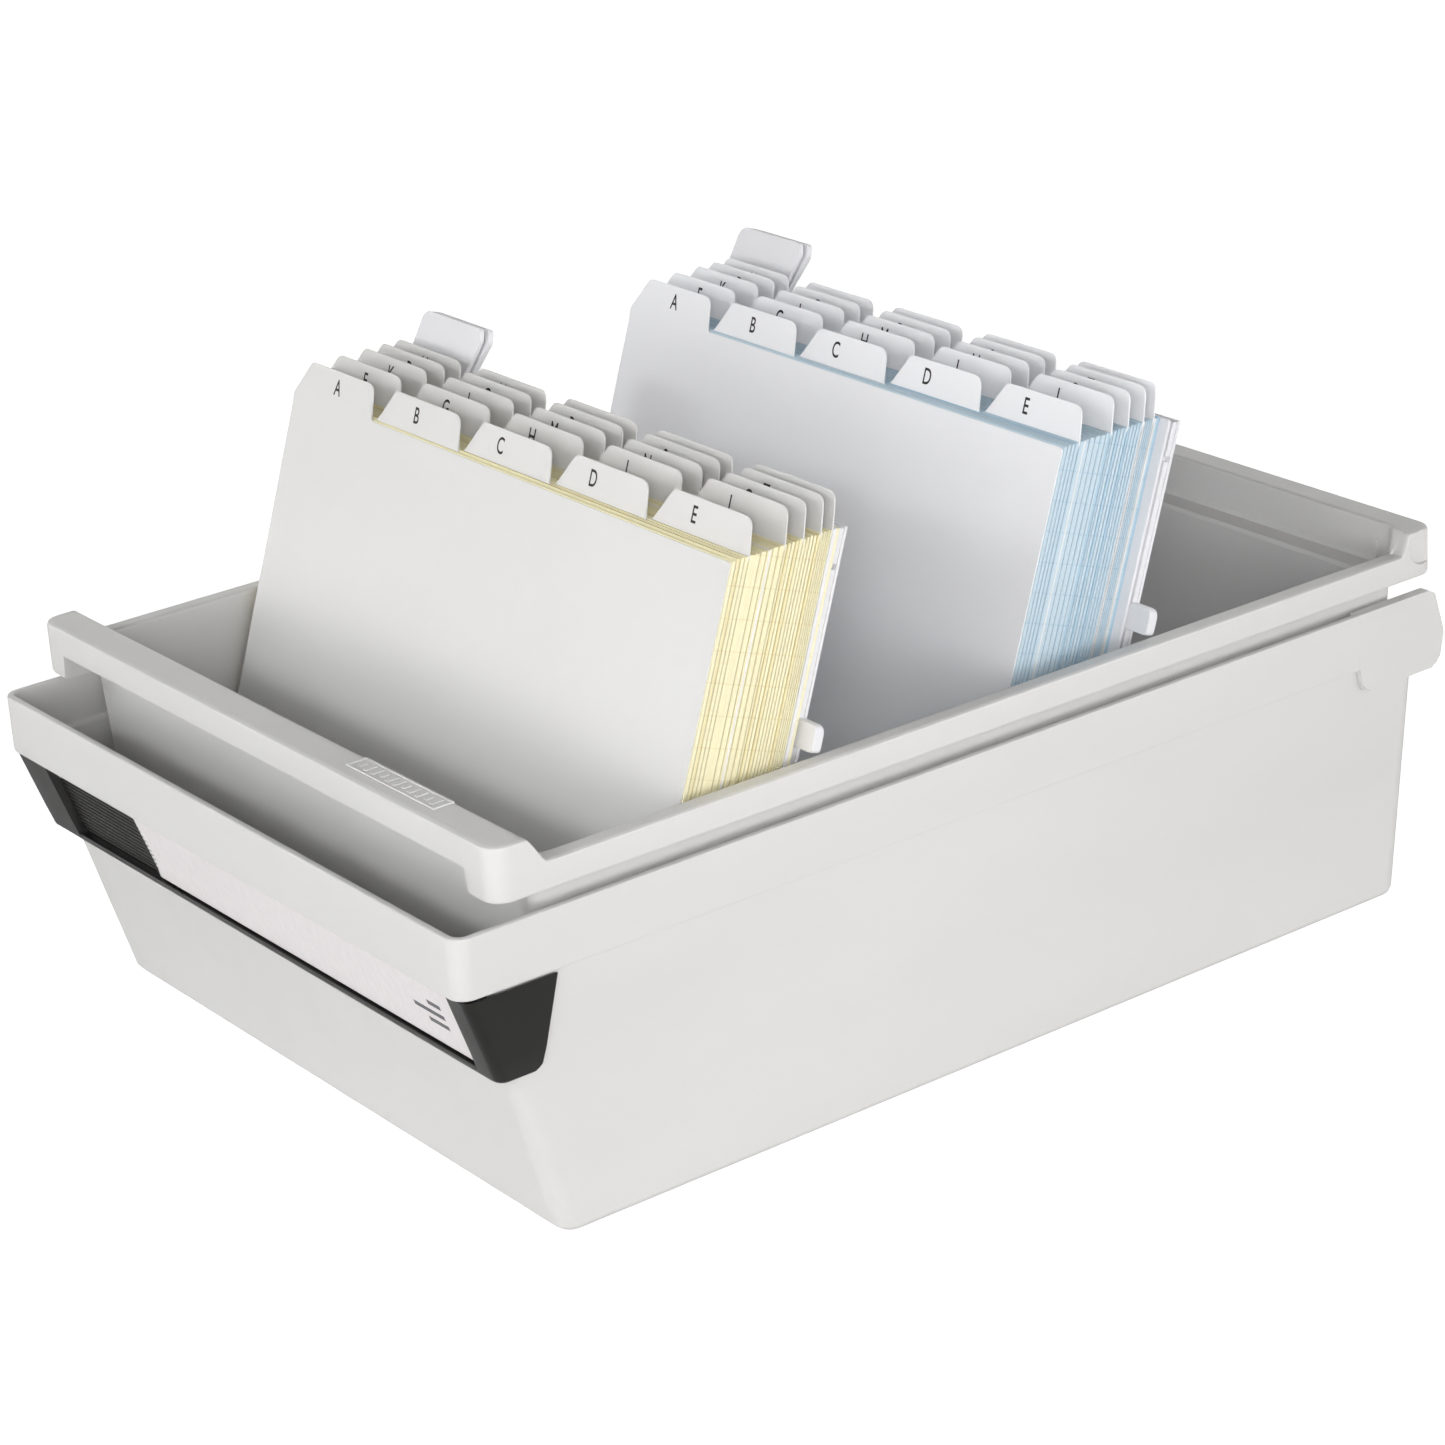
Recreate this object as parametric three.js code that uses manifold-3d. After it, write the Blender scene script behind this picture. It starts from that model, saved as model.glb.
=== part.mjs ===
// Card index box for A5 landscape cards: a card tray standing in its own lid, which is turned upside
// down underneath it. The tray holds two packs of index guides and record cards, each leaning back
// on a support plate, and the lid carries a clip-on label holder.
// Millimetres, +Z up, the label side faces -Y, and the origin is the centre of the footprint at z = 0.

import * as THREE from "three";
import { mergeVertices } from "three/addons/utils/BufferGeometryUtils.js";
import Module from "manifold-3d";

const wasm = await Module();
wasm.setup();

// ---------------------------------------------------------------- driving dimensions

const CLEARANCE = 0.4; // gap kept between separate pieces

const SHELL = {
  baseHalfWidth: 111.8, // footprint of the upturned lid
  baseFront: -140.4,
  baseRear: 161,
  ledgeHalfWidth: 115, // the same walls where the rim band starts
  ledgeFront: -161,
  ledgeRear: 166.3,
  ledgeZ: 77.4,
  rimHalfWidth: 116.7, // outside of the rim band
  rimFront: -168.8,
  rimRear: 168.4,
  rimZ: 94.6,
  rearCutZ: 83, // between the hinge's cheeks the rear of the band is cut down to here
  wall: 2.2,
  floor: 2.6,
  corner: 5,
  baseEdge: 2.5,
  padTop: 10, // pads on the lid's floor that the tray's feet stand on
};

const EAR = {
  outerX: 117.2, // cheeks of the lid's hinge, at both rear corners
  thickness: 3.4,
  outline: [
    [140.1, 78.3],
    [141.7, 71.5],
    [144.2, 70.4],
    [169.6, 70.4],
    [172.2, 71.8],
    [174.5, 80.8],
    [171, 92.6],
    [168.4, 94.6],
    [140.1, 94.6],
  ],
  studY: 169.9,
  studZ: 81,
  studRadius: 3.8,
  studLength: 5,
};

const TRAY = {
  footZ: 10.4,
  footSize: 18,
  underZ: 16,
  floorZ: 18.2,
  baseHalfWidth: 108.8,
  baseFront: -136.5,
  baseRear: 153,
  wallHalfWidth: 110.7,
  wallFront: -141.3,
  wallRear: 158,
  railZ: 106.5, // top and underside of the side rails
  railUnder: 98.5,
  rimHalfWidth: 114.7,
  innerHalfWidth: 108.6,
  innerFront: -139.1,
  innerRear: 155.8,
  wall: 2.2,
  corner: 5,
  handleFront: -154.9, // the raised bar along the front edge
  handleBack: -136.8,
  handleZ: 113.9,
  lipUnder: 105.2,
  lipThickness: 2.5,
  gripHalfWidth: 102.5,
  barFront: 157, // the raised bar along the rear edge
  barRear: 173.4,
  barZ: 112.8,
  barInner: 164.2,
  shelfZ: 100.5,
};

const SOCKET = { y: 167.2, z: 110.2, radius: 5.2, depth: 2.2, tilt: 0.2 };

const BADGE = { x: 62, y: -147, width: 41, depth: 6.6, raise: 0.4 };

const LEAN = THREE.MathUtils.degToRad(19); // the packs lean back from upright by this angle
const CARD = { halfWidth: 105, height: 149.8, standZ: 21.5 };
const GUIDE = {
  thickness: 0.4,
  shoulder: 150.5,
  tabHeight: 10,
  tabWidth: 41.4,
  leftSlant: 6.6, // how far the tab's left side runs inwards over its height
  rightSlant: 2.4,
  leftCorner: 2,
  rightCorner: 3.4,
};
const TABS_PER_ROW = 5;
const LETTERS = [..."abcdefghijklmnopqrstuvw".split(""), "xy", "z"];

// Each row of five guides: distance of its first guide from the front of the pack, and the pitch
// of the guides in it.
const ROWS = [
  { start: 0, pitch: 1.3 },
  { start: 8.7, pitch: 1.85 },
  { start: 16.9, pitch: 1.2 },
  { start: 22.7, pitch: 1.1 },
  { start: 27.9, pitch: 0.7 },
];
const STACKS = [
  { start: 5.9, thickness: 2.2 },
  { start: 31.4, thickness: 1.3 },
];
const PACKS = [
  { name: "front", y: -118.6, width: 1, cardColour: 0xf8f0b9 },
  { name: "rear", y: -2, width: 0.945, cardColour: 0xbfdcf0 },
];

const PLATE = {
  start: 33.1, // distance of its face from the front of the pack
  thickness: 4.4,
  halfWidth: 103,
  bottom: 2,
  top: 151,
  border: 9,
  panelDepth: 1.8,
  tabLeft: -100,
  tabRight: -64,
  tabTop: 169,
  tabUndercut: 6.5,
  tabThickness: 3,
  tabCorner: 3,
  notchWidth: 7, // cut into the face at both upper corners
  notchHeight: 11,
  notchDepth: 1.9,
  wingReach: 8, // wings at both sides, which rest on the tray's rails
  wingBottom: 92,
  wingTop: 99.5,
  wingThickness: 2.8,
};

const HOLDER = {
  topZ: 77,
  bottomZ: 51.6,
  topFront: -167.2,
  bottomFront: -158.6,
  topHalfWidth: 116.6,
  bottomHalfWidth: 116,
  wingTopY: -139.3,
  wingBottomY: -145.8,
  corner: 4,
  windowLeft: -97.5,
  windowRight: 106.2,
  windowDepth: 2.6,
  border: 2.4,
};

const LABEL = { left: -54, right: 105.6, thickness: 1.5, height: 20 };

const EAR_REAR = Math.max(...EAR.outline.map(([y]) => y));
const CENTRE_Y = (SHELL.rimFront + EAR_REAR) / 2;

// ---------------------------------------------------------------- materials

function plastic(colour, roughness) {
  return new THREE.MeshStandardMaterial({ color: colour, roughness, metalness: 0 });
}

const BOX_GREY = () => plastic(0xd9d9d6, 0.45);
const GUIDE_GREY = () => plastic(0xdededc, 0.4);
const HOLDER_BLACK = () => plastic(0x2f2d2c, 0.35);
const LABEL_WHITE = () => plastic(0xf2efef, 0.7);
const cardPaper = (colour) => plastic(colour, 0.9);

// ---------------------------------------------------------------- solids

// Turns a closed three.js geometry into a solid that can be joined and cut.
function solid(geometry) {
  const bare = new THREE.BufferGeometry();
  bare.setAttribute("position", geometry.getAttribute("position"));
  bare.setIndex(geometry.getIndex());
  const merged = mergeVertices(bare, 1e-4);
  return new wasm.Manifold(
    new wasm.Mesh({
      numProp: 3,
      vertProperties: merged.getAttribute("position").array,
      triVerts: new Uint32Array(merged.getIndex().array),
    }),
  );
}

// Turns a solid back into a geometry with flat faces.
function geometryOf(body) {
  const mesh = body.getMesh();
  const geometry = new THREE.BufferGeometry();
  geometry.setAttribute("position", new THREE.BufferAttribute(mesh.vertProperties, 3));
  geometry.setIndex(new THREE.BufferAttribute(mesh.triVerts, 1));
  geometry.computeVertexNormals();
  return geometry;
}

function box(x0, x1, y0, y1, z0, z1) {
  const geometry = new THREE.BoxGeometry(x1 - x0, y1 - y0, z1 - z0);
  geometry.translate((x0 + x1) / 2, (y0 + y1) / 2, (z0 + z1) / 2);
  return solid(geometry);
}

// A cylinder along X, turned about Z by tilt.
function rod(x0, x1, y, z, radius, tilt = 0) {
  const geometry = new THREE.CylinderGeometry(radius, radius, x1 - x0, 28);
  geometry.rotateZ(Math.PI / 2 + tilt);
  geometry.translate((x0 + x1) / 2, y, z);
  return solid(geometry);
}

// An outline of [y, z] points carried along X from x0 to x1.
function prism(outline, x0, x1) {
  const shape = new THREE.Shape(outline.map(([y, z]) => new THREE.Vector2(y, z)));
  const geometry = new THREE.ExtrudeGeometry(shape, { depth: x1 - x0, bevelEnabled: false });
  geometry.rotateY(Math.PI / 2);
  geometry.rotateX(Math.PI / 2);
  geometry.translate(x0, 0, 0);
  return solid(geometry);
}

// One level of a loft: a rectangle with rounded corners, symmetric about x = 0.
function level(z, halfWidth, front, rear, corner) {
  return { z, halfWidth, front, rear, corner };
}

const CORNER_STEPS = 4;

function ringPoints({ z, halfWidth, front, rear, corner }) {
  const centres = [
    [halfWidth - corner, front + corner, -Math.PI / 2],
    [halfWidth - corner, rear - corner, 0],
    [-halfWidth + corner, rear - corner, Math.PI / 2],
    [-halfWidth + corner, front + corner, Math.PI],
  ];
  const points = [];
  for (const [x, y, start] of centres) {
    for (let i = 0; i <= CORNER_STEPS; i++) {
      const angle = start + ((Math.PI / 2) * i) / CORNER_STEPS;
      points.push(x + corner * Math.cos(angle), y + corner * Math.sin(angle), z);
    }
  }
  return points;
}

// A closed body through a list of levels, from the lowest to the highest.
function loft(levels) {
  const count = 4 * (CORNER_STEPS + 1);
  const positions = levels.flatMap(ringPoints);
  const indices = [];
  for (let k = 0; k + 1 < levels.length; k++) {
    for (let i = 0; i < count; i++) {
      const a = k * count + i;
      const b = k * count + ((i + 1) % count);
      indices.push(a, b, b + count, a, b + count, a + count);
    }
  }
  const last = (levels.length - 1) * count;
  for (let i = 1; i + 1 < count; i++) {
    indices.push(0, i + 1, i, last, last + i, last + i + 1);
  }
  const geometry = new THREE.BufferGeometry();
  geometry.setAttribute("position", new THREE.Float32BufferAttribute(positions, 3));
  geometry.setIndex(indices);
  return solid(geometry);
}

function node(name, body, material) {
  const mesh = new THREE.Mesh(body.isBufferGeometry ? body : geometryOf(body), material);
  mesh.name = name;
  return mesh;
}

// Four square blocks near the tray's corners, from z0 to z1: its feet, and the pads under them.
function cornerBlocks(z0, z1) {
  const x = TRAY.baseHalfWidth - TRAY.footSize;
  const size = TRAY.footSize / 2;
  const blocks = [];
  for (const y of [TRAY.baseFront + TRAY.footSize, TRAY.baseRear - TRAY.footSize]) {
    for (const centre of [-x, x]) {
      blocks.push(box(centre - size, centre + size, y - size, y + size, z0, z1));
    }
  }
  return blocks;
}

// ---------------------------------------------------------------- lid, used as the lower shell

// The lid's drafted and raked outer walls at height z, moved outwards by grow.
function shellLevel(z, grow) {
  const t = z / SHELL.ledgeZ;
  const mix = THREE.MathUtils.lerp;
  return level(
    z,
    mix(SHELL.baseHalfWidth, SHELL.ledgeHalfWidth, t) + grow,
    mix(SHELL.baseFront, SHELL.ledgeFront, t) - grow,
    mix(SHELL.baseRear, SHELL.ledgeRear, t) + grow,
    SHELL.corner,
  );
}

function rimLevel(z, grow) {
  return level(
    z,
    SHELL.rimHalfWidth + grow,
    SHELL.rimFront - grow,
    SHELL.rimRear + grow,
    SHELL.corner - 1,
  );
}

// The part of the rear band, between the cheeks, that is left out so that the lid can turn when shut.
function rearCut() {
  const reach = EAR.outerX - EAR.thickness;
  const front = SHELL.rimRear - SHELL.wall - 1;
  const rear = SHELL.rimRear + 1;
  const top = SHELL.rimZ + 1;
  const outline = [
    [front, SHELL.rearCutZ],
    [rear, SHELL.rearCutZ],
    [rear, top],
    [front, top],
  ];
  return prism(outline, -reach, reach);
}

function lidShell() {
  let body = loft([
    shellLevel(0, -SHELL.baseEdge),
    shellLevel(SHELL.baseEdge, 0),
    shellLevel(SHELL.ledgeZ, 0),
  ]);
  body = body.add(loft([rimLevel(SHELL.ledgeZ, 0), rimLevel(SHELL.rimZ, 0)]));
  body = body.subtract(rearCut());
  for (const side of [-1, 1]) {
    const outer = side * EAR.outerX;
    const inner = side * (EAR.outerX - EAR.thickness);
    const end = inner - side * EAR.studLength;
    body = body.add(prism(EAR.outline, Math.min(outer, inner), Math.max(outer, inner)));
    body = body.add(
      rod(Math.min(end, outer), Math.max(end, outer), EAR.studY, EAR.studZ, EAR.studRadius),
    );
  }
  const stepZ = SHELL.ledgeZ + SHELL.wall;
  const hollow = loft([
    shellLevel(SHELL.floor, -SHELL.wall),
    shellLevel(stepZ, -SHELL.wall),
  ]).add(loft([rimLevel(stepZ - 0.01, -SHELL.wall), rimLevel(SHELL.rimZ + 5, -SHELL.wall)]));
  body = body.subtract(hollow);
  for (const pad of cornerBlocks(SHELL.floor - 1, SHELL.padTop)) {
    body = body.add(pad);
  }
  return body;
}

// ---------------------------------------------------------------- label holder and its label

// The holder's face leans outwards at the top by this angle from upright.
const FACE_TILT = Math.atan2(
  HOLDER.bottomFront - HOLDER.topFront,
  HOLDER.topZ - HOLDER.bottomZ,
);

// A box against the holder's face: depth0 to depth1 behind the face, low to high up it.
function faceBox(x0, x1, depth0, depth1, low, high) {
  const geometry = new THREE.BoxGeometry(x1 - x0, depth1 - depth0, high - low);
  geometry.translate((x0 + x1) / 2, (depth0 + depth1) / 2, (low + high) / 2);
  geometry.rotateX(FACE_TILT);
  geometry.translate(0, HOLDER.bottomFront, HOLDER.bottomZ);
  return solid(geometry);
}

function labelHolder() {
  const outer = loft([
    level(HOLDER.bottomZ, HOLDER.bottomHalfWidth, HOLDER.bottomFront, 0, HOLDER.corner),
    level(HOLDER.topZ, HOLDER.topHalfWidth, HOLDER.topFront, 0, HOLDER.corner),
  ]);
  const lid = loft([
    shellLevel(HOLDER.bottomZ - 5, CLEARANCE),
    shellLevel(SHELL.ledgeZ, CLEARANCE),
  ]);
  const height = HOLDER.topZ - HOLDER.bottomZ;
  const slope = (HOLDER.wingTopY - HOLDER.wingBottomY) / height;
  const behind = prism(
    [
      [HOLDER.wingBottomY - 5 * slope, HOLDER.bottomZ - 5],
      [50, HOLDER.bottomZ - 5],
      [50, HOLDER.topZ + 5],
      [HOLDER.wingTopY + 5 * slope, HOLDER.topZ + 5],
    ],
    -SHELL.rimHalfWidth - 5,
    SHELL.rimHalfWidth + 5,
  );
  const window = faceBox(
    HOLDER.windowLeft,
    HOLDER.windowRight,
    -5,
    HOLDER.windowDepth,
    HOLDER.border,
    height + 10,
  );
  return outer.subtract(lid).subtract(behind).subtract(window);
}

function labelCard() {
  const back = HOLDER.windowDepth - CLEARANCE;
  const low = HOLDER.border + CLEARANCE;
  return faceBox(LABEL.left, LABEL.right, back - LABEL.thickness, back, low, low + LABEL.height);
}

// ---------------------------------------------------------------- card tray

function trayLevel(z, grow) {
  const t = (z - TRAY.underZ) / (TRAY.railUnder - TRAY.underZ);
  const mix = THREE.MathUtils.lerp;
  return level(
    z,
    mix(TRAY.baseHalfWidth, TRAY.wallHalfWidth, t) + grow,
    mix(TRAY.baseFront, TRAY.wallFront, t) - grow,
    mix(TRAY.baseRear, TRAY.wallRear, t) + grow,
    TRAY.corner + grow,
  );
}

// Section of the raised bar along the front edge, which is the tray's handle.
const HANDLE_OUTLINE = [
  [TRAY.handleFront, TRAY.railUnder],
  [TRAY.handleFront, TRAY.handleZ - 2.6],
  [TRAY.handleFront + 0.9, TRAY.handleZ - 0.8],
  [TRAY.handleFront + 2.8, TRAY.handleZ],
  [TRAY.handleBack - 7.6, TRAY.handleZ],
  [TRAY.handleBack - 4.8, TRAY.handleZ - 0.8],
  [TRAY.handleBack - 2.8, TRAY.handleZ - 3.2],
  [TRAY.handleBack - 1.6, TRAY.railZ + 1.5],
  [TRAY.handleBack, TRAY.railZ],
  [TRAY.handleBack, TRAY.railUnder],
];

// Section of the raised bar along the rear edge, which holds the lid's hinge sockets.
const BAR_OUTLINE = [
  [TRAY.barRear, TRAY.railUnder],
  [TRAY.barRear, TRAY.barZ - 2.2],
  [TRAY.barRear - 0.8, TRAY.barZ - 0.7],
  [TRAY.barRear - 2.4, TRAY.barZ],
  [TRAY.barFront + 7.4, TRAY.barZ],
  [TRAY.barFront + 5.7, TRAY.barZ - 0.8],
  [TRAY.barFront + 4.4, TRAY.barZ - 3.4],
  [TRAY.barFront + 3, TRAY.railZ + 0.8],
  [TRAY.barFront, TRAY.railZ],
  [TRAY.barFront, TRAY.railUnder],
];

function trayRim() {
  const band = level(
    TRAY.railUnder,
    TRAY.rimHalfWidth,
    TRAY.handleFront,
    TRAY.barRear,
    TRAY.corner,
  );
  const envelope = loft([band, { ...band, z: TRAY.handleZ + 2 }]);
  const half = TRAY.rimHalfWidth + 1;
  return loft([band, { ...band, z: TRAY.railZ }])
    .add(prism(HANDLE_OUTLINE, -half, half).intersect(envelope))
    .add(prism([...BAR_OUTLINE].reverse(), -half, half).intersect(envelope));
}

function trayCavity() {
  const inner = level(
    TRAY.railUnder,
    TRAY.innerHalfWidth,
    TRAY.innerFront,
    TRAY.innerRear,
    TRAY.corner - 2,
  );
  const top = TRAY.handleZ + 5;
  return loft([trayLevel(TRAY.floorZ, -TRAY.wall), inner, { ...inner, z: top }]).add(
    loft([
      { ...inner, z: TRAY.shelfZ, rear: TRAY.barInner },
      { ...inner, z: top, rear: TRAY.barInner },
    ]),
  );
}

// Hollows under the two bars: the finger grip in front and a narrow channel at the rear.
function barHollows() {
  const grip = TRAY.gripHalfWidth;
  const under = TRAY.railUnder - 10;
  const lipBack = TRAY.handleFront + TRAY.lipThickness;
  const barWall = 2;
  return box(-grip, grip, lipBack, TRAY.wallFront, under, TRAY.handleZ - TRAY.lipThickness)
    .add(box(-grip, grip, TRAY.handleFront - 5, TRAY.wallFront, under, TRAY.lipUnder))
    .add(
      box(
        -grip,
        grip,
        TRAY.barInner + barWall,
        TRAY.barRear - barWall,
        under,
        TRAY.barZ - TRAY.lipThickness,
      ),
    );
}

function cardTray() {
  let body = loft([trayLevel(TRAY.underZ, 0), trayLevel(TRAY.railUnder + 0.5, 0)]);
  body = body.add(trayRim()).subtract(barHollows()).subtract(trayCavity());
  for (const foot of cornerBlocks(TRAY.footZ, TRAY.underZ + 1)) {
    body = body.add(foot);
  }
  for (const side of [-1, 1]) {
    const face = side * TRAY.rimHalfWidth;
    const end = face - side * SOCKET.depth;
    body = body.subtract(
      rod(
        Math.min(end, face + side * 6),
        Math.max(end, face + side * 6),
        SOCKET.y,
        SOCKET.z,
        SOCKET.radius,
        side * SOCKET.tilt,
      ),
    );
  }
  const badgeZ = TRAY.handleZ - 0.5;
  const badge = box(
    BADGE.x - BADGE.width / 2,
    BADGE.x + BADGE.width / 2,
    BADGE.y - BADGE.depth / 2,
    BADGE.y + BADGE.depth / 2,
    badgeZ,
    TRAY.handleZ + BADGE.raise,
  );
  return body.add(badge);
}

// ---------------------------------------------------------------- packs of cards
// A pack is built upright: X across, Z up the cards, Y from its front to its back. Its group leans
// it back, and each piece is raised by the rise of its distance so that all stand on one level.

const rise = (distance) => distance * Math.tan(LEAN);

// An outline of [x, z] points carried along Y from 0 to thickness.
function sheet(outline, thickness) {
  const shape = new THREE.Shape(outline.map(([x, z]) => new THREE.Vector2(x, z)));
  const geometry = new THREE.ExtrudeGeometry(shape, { depth: thickness, bevelEnabled: false });
  geometry.rotateX(Math.PI / 2);
  geometry.translate(0, thickness, 0);
  return geometry;
}

function guideOutline(position) {
  const { shoulder, tabHeight, tabWidth, leftSlant, rightSlant } = GUIDE;
  const { leftCorner, rightCorner } = GUIDE;
  const pitch = (2 * CARD.halfWidth) / TABS_PER_ROW;
  const left = -CARD.halfWidth + position * pitch;
  const last = position === TABS_PER_ROW - 1;
  const right = last ? CARD.halfWidth : left + tabWidth;
  const top = shoulder + tabHeight;
  const outline = [
    [-CARD.halfWidth, 0],
    [CARD.halfWidth, 0],
  ];
  if (!last) {
    outline.push([CARD.halfWidth, shoulder]);
  }
  outline.push(
    [right, shoulder],
    [right - rightSlant, top - rightCorner / 2],
    [right - rightSlant - rightCorner, top],
    [left + leftSlant + leftCorner / 2, top],
    [left + leftSlant - leftCorner / 2, top - leftCorner / 2],
    [left, shoulder],
  );
  if (position > 0) {
    outline.push([-CARD.halfWidth, shoulder]);
  }
  return outline;
}

function cardOutline() {
  return [
    [-CARD.halfWidth, 0],
    [CARD.halfWidth, 0],
    [CARD.halfWidth, CARD.height],
    [-CARD.halfWidth, CARD.height],
  ];
}

// The plate's tab stands above its left end and is undercut on its right side.
function plateTab() {
  const { tabLeft, tabRight, tabTop, tabCorner, top } = PLATE;
  const neck = tabRight - PLATE.tabUndercut;
  const outline = [
    [tabLeft, top - tabCorner],
    [neck, top - tabCorner],
    [neck, top],
    [tabRight, tabTop - tabCorner],
    [tabRight - tabCorner, tabTop],
    [tabLeft + 2 * tabCorner, tabTop],
    [tabLeft + tabCorner, tabTop - tabCorner],
    [tabLeft, top],
  ];
  return solid(sheet(outline, PLATE.tabThickness));
}

// A box between x0 and x1 on the given side, whichever of the two is nearer the middle.
function sideBox(side, x0, x1, y0, y1, z0, z1) {
  return box(Math.min(side * x0, side * x1), Math.max(side * x0, side * x1), y0, y1, z0, z1);
}

function supportPlate() {
  const { halfWidth, thickness, bottom, top, border } = PLATE;
  const across = halfWidth - border;
  const panelBack = thickness - PLATE.panelDepth;
  let body = box(-halfWidth, halfWidth, 0, thickness, bottom, top)
    .subtract(box(-across, across, panelBack, thickness + 1, bottom + border, top - border))
    .add(plateTab());
  for (const side of [-1, 1]) {
    const inner = halfWidth - PLATE.notchWidth;
    const notchBottom = top - PLATE.notchHeight;
    const wingFront = thickness - PLATE.wingThickness;
    const wingEnd = halfWidth + PLATE.wingReach;
    const wingZ = [PLATE.wingBottom, PLATE.wingTop];
    body = body
      .subtract(sideBox(side, inner, halfWidth + 1, -1, PLATE.notchDepth, notchBottom, top + 1))
      .add(sideBox(side, halfWidth - 1, wingEnd, wingFront, thickness, ...wingZ));
  }
  return body;
}

function place(mesh, distance) {
  mesh.position.set(0, distance, rise(distance));
  return mesh;
}

function cardPack({ name, y, width, cardColour }) {
  const pack = new THREE.Group();
  const cards = new THREE.Group();
  pack.position.set(0, y, CARD.standZ);
  pack.rotation.x = -LEAN;
  cards.scale.x = width;
  pack.add(cards);
  LETTERS.forEach((letter, index) => {
    const row = ROWS[Math.floor(index / TABS_PER_ROW)];
    const position = index % TABS_PER_ROW;
    const guide = sheet(guideOutline(position), GUIDE.thickness);
    const mesh = node(`guide_${name}_${letter}`, guide, GUIDE_GREY());
    cards.add(place(mesh, row.start + position * row.pitch));
  });
  STACKS.forEach(({ start, thickness }, index) => {
    const stack = sheet(cardOutline(), thickness);
    const mesh = node(`record_cards_${name}_${index + 1}`, stack, cardPaper(cardColour));
    cards.add(place(mesh, start));
  });
  pack.add(place(node(`support_plate_${name}`, supportPlate(), BOX_GREY()), PLATE.start));
  return pack;
}

// ---------------------------------------------------------------- assembly

const cardBox = new THREE.Group();
const assembly = new THREE.Group();
assembly.position.y = -CENTRE_Y;
cardBox.add(assembly);
assembly.add(node("lid_shell", lidShell(), BOX_GREY()));
assembly.add(node("label_holder", labelHolder(), HOLDER_BLACK()));
assembly.add(node("label_card", labelCard(), LABEL_WHITE()));
assembly.add(node("card_tray", cardTray(), BOX_GREY()));
for (const pack of PACKS) {
  assembly.add(cardPack(pack));
}

export default cardBox;
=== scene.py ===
"""Looks of a card index box: a card tray standing in its own upturned lid, with two packs of lettered
guide cards, record cards, support plates and a label holder. Lengths here are in millimetres."""

import math
import random

import bmesh
import bpy
from mathutils import Matrix, Vector


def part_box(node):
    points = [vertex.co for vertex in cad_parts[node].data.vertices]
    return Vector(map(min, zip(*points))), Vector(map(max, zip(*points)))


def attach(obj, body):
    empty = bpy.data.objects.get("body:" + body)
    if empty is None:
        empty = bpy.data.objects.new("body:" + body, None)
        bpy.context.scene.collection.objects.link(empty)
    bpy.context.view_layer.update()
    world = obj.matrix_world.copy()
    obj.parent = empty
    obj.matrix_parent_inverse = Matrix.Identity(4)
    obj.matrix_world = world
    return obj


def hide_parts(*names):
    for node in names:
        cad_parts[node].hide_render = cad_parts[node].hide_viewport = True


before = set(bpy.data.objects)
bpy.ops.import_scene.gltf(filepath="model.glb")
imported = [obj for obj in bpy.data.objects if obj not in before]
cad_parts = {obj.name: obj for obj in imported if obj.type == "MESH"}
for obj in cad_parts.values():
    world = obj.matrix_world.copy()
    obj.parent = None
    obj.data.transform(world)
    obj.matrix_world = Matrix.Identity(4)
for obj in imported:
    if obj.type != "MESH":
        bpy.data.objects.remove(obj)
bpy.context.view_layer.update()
MM = 0.001


def corners(node):
    """Lowest and highest corner of a CAD node, in millimetres."""
    low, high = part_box(node)
    return low / MM, high / MM


LID_LOW, LID_HIGH = corners("lid_shell")
TRAY_LOW, TRAY_HIGH = corners("card_tray")
HOLDER_LOW, HOLDER_HIGH = corners("label_holder")
LABEL_LOW, LABEL_HIGH = corners("label_card")

# ------------------------------------------------------------------------------------ camera

AZIMUTH = math.radians(54.27)
ELEVATION = math.radians(22.14)
ROLL = math.radians(-3.73)
DISTANCE = 1208.25
TARGET = Vector((1.2, -3.8, 70.1))
LENS = 104.45


def make_camera():
    """A camera DISTANCE away from TARGET, turned by ROLL about its own line of sight."""
    back = Vector((
        math.sin(AZIMUTH) * math.cos(ELEVATION),
        -math.cos(AZIMUTH) * math.cos(ELEVATION),
        math.sin(ELEVATION),
    ))
    level_right = Vector((0, 0, 1)).cross(back).normalized()
    level_up = back.cross(level_right)
    right = math.cos(ROLL) * level_right + math.sin(ROLL) * level_up
    up = back.cross(right)
    camera = bpy.data.objects.new("camera", bpy.data.cameras.new("camera"))
    bpy.context.scene.collection.objects.link(camera)
    camera.data.lens = LENS
    camera.data.clip_start = 50 * MM
    camera.data.clip_end = 50000 * MM
    turn = Matrix((right, up, back)).transposed().to_4x4()
    camera.matrix_world = Matrix.Translation((TARGET + back * DISTANCE) * MM) @ turn
    bpy.context.scene.camera = camera


make_camera()

# ------------------------------------------------------------------------------------ materials


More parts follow.
